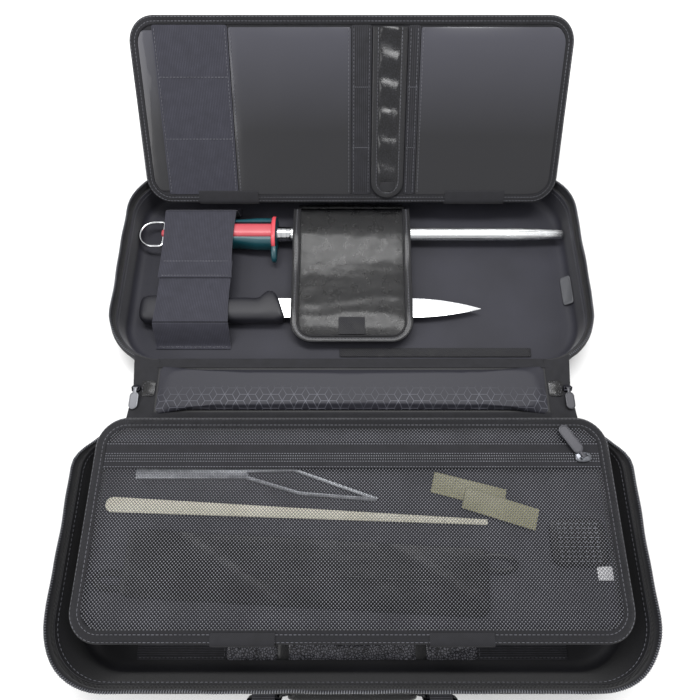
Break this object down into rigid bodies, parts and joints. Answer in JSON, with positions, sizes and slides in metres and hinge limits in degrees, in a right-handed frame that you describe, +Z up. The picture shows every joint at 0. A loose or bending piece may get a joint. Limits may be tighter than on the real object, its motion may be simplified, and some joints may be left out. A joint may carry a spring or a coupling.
{
  "type": "chef knife case",
  "caption": "Zip-round hard chef knife case lying open: deep base with mesh page, shallow lid with sleeve page, flap and band, padded spine, honing steel, knife and tools inside.",
  "frame": {"origin": "centre of the flat underside of the base", "axes": "+X along the spine to the right, +Y from the base over the spine to the lid, +Z up"},
  "size_m": [0.464, 0.5831, 0.1487],
  "materials": {
    "shell": "woven polyester over moulded foam, semi matt",
    "lining": "smooth lining cloth",
    "zip_tape": "woven zip tape",
    "zip_teeth": "moulded coil",
    "webbing": "flat webbing",
    "leather": "glossy grained leather cloth",
    "binding": "folded binding tape",
    "pad": "printed padded cloth",
    "net": "knitted net",
    "elastic": "wide elastic",
    "pocket_film": "grained pocket film",
    "slider_metal": "zinc, dark plated",
    "puller": "soft moulded grip",
    "tool_steel": "ground steel",
    "cream_plastic": "moulded",
    "pouch_cloth": "plain cloth",
    "teal_plastic": "moulded",
    "coral_plastic": "moulded",
    "black_plastic": "moulded, fine grain"
  },
  "bodies": {
    "base": {"base_shell": "shell", "base_lining": "lining", "base_zip_tape": "zip_tape", "base_zip_teeth": "zip_teeth", "floor_webbing": "webbing", "floor_patches": "leather", "floor_keepers": "leather", "floor_pocket": "leather", "mesh_page_tabs": "lining", "handle_anchors": "webbing"},
    "carry_handle": {"handle_rings": "slider_metal", "handle_straps": "webbing", "handle_grip": "leather"},
    "spine": {"spine_cover": "shell", "spine_pad": "pad", "gussets": "lining", "zip_end_tabs": "leather", "main_sliders": "slider_metal"},
    "left_puller": {"left_puller": "puller"},
    "right_puller": {"right_puller": "puller"},
    "mesh_page": {"mesh_page_backing": "lining", "mesh_page_net": "net", "mesh_page_binding": "binding", "pocket_tapes": "zip_tape", "pocket_teeth": "zip_teeth", "tongs": "tool_steel", "long_bar": "cream_plastic", "blade_guards": "cream_plastic", "tool_pouch": "pouch_cloth"},
    "pocket_slider": {"pocket_slider": "slider_metal"},
    "pocket_puller": {"pocket_puller": "puller"},
    "lid": {"lid_shell": "shell", "lid_lining": "lining", "lid_zip_tape": "zip_tape", "lid_zip_teeth": "zip_teeth", "band_roots": "elastic", "flap_root": "leather", "hook_strip": "binding", "side_tag": "puller", "sleeve_page_tabs": "lining", "steel_rod": "tool_steel", "steel_ferrule": "tool_steel", "steel_guard": "teal_plastic", "steel_core": "coral_plastic", "steel_sides": "teal_plastic", "knife_blade": "tool_steel", "knife_handle": "black_plastic"},
    "band_far": {"band_far": "elastic"},
    "band_near": {"band_near": "elastic"},
    "flap": {"flap_panel": "leather", "flap_binding": "binding", "flap_hook_tab": "binding"},
    "steel_ring": {"steel_ring": "tool_steel"},
    "sleeve_page": {"sleeve_page_board": "lining", "sleeve_page_binding": "binding", "sleeve_page_band": "elastic", "sleeve_pockets": "pocket_film", "sleeve_page_strips": "lining"},
    "page_strap": {"page_strap": "leather", "page_strap_tab": "binding"}
  },
  "joints": [
    {"name": "case_fold", "type": "hinge", "parent": "base", "child": "spine", "pos_m": [0, 0.106, 0.03], "axis": [1, 0, 0], "range_deg": [0, 90]},
    {"name": "lid_fold", "type": "hinge", "parent": "spine", "child": "lid", "pos_m": [0, 0.1566, 0.03], "axis": [1, 0, 0], "range_deg": [0, 90]},
    {"name": "sleeve_page_turn", "type": "hinge", "parent": "lid", "child": "sleeve_page", "pos_m": [0, 0.33527, 0.03646], "axis": [1, 0, 0], "range_deg": [0, 138.01]},
    {"name": "strap_lift", "type": "hinge", "parent": "sleeve_page", "child": "page_strap", "pos_m": [0.0365, 0.45313, 0.14254], "axis": [1, 0, 0], "range_deg": [-95, 0]},
    {"name": "mesh_page_turn", "type": "hinge", "parent": "base", "child": "mesh_page", "pos_m": [0, -0.0745, 0.059], "axis": [-1, 0, 0], "range_deg": [-140, 0]},
    {"name": "pocket_slide", "type": "slide", "parent": "mesh_page", "child": "pocket_slider", "axis": [1, 0, 0], "range_m": [-0.372, 0]},
    {"name": "pocket_puller_lift", "type": "hinge", "parent": "pocket_slider", "child": "pocket_puller", "pos_m": [0.19, 0.064, 0.0668], "axis": [-0.848, -0.5299, 0], "range_deg": [-100, 0]},
    {"name": "flap_lift", "type": "hinge", "parent": "lid", "child": "flap", "pos_m": [0, 0.3306, 0.0267], "axis": [1, 0, 0], "range_deg": [-85, 0]},
    {"name": "band_far_lift", "type": "hinge", "parent": "lid", "child": "band_far", "pos_m": [-0.1576, 0.3256, 0.0314], "axis": [1, 0, 0], "range_deg": [-100, 0]},
    {"name": "band_near_lift", "type": "hinge", "parent": "lid", "child": "band_near", "pos_m": [-0.1576, 0.2016, 0.0274], "axis": [-1, 0, 0], "range_deg": [-50, 0]},
    {"name": "steel_ring_lift", "type": "hinge", "parent": "lid", "child": "steel_ring", "pos_m": [-0.198, 0.3056, 0.0193], "axis": [0, -1, 0], "range_deg": [-80, 0]},
    {"name": "left_puller_lift", "type": "hinge", "parent": "spine", "child": "left_puller", "pos_m": [-0.1986, 0.13231, 0.0347], "axis": [1, 0, 0], "range_deg": [-90, 0]},
    {"name": "right_puller_lift", "type": "hinge", "parent": "spine", "child": "right_puller", "pos_m": [0.1986, 0.13231, 0.0347], "axis": [1, 0, 0], "range_deg": [-90, 0]},
    {"name": "handle_swing", "type": "hinge", "parent": "base", "child": "carry_handle", "pos_m": [0, -0.113, 0.044], "axis": [-1, 0, 0], "range_deg": [0, 150]}
  ],
  "couplings": [
    {"joint": "sleeve_page_turn", "follows": "case_fold", "ratio": 1.5333},
    {"joint": "band_near_lift", "follows": "band_far_lift", "ratio": 0.5}
  ]
}
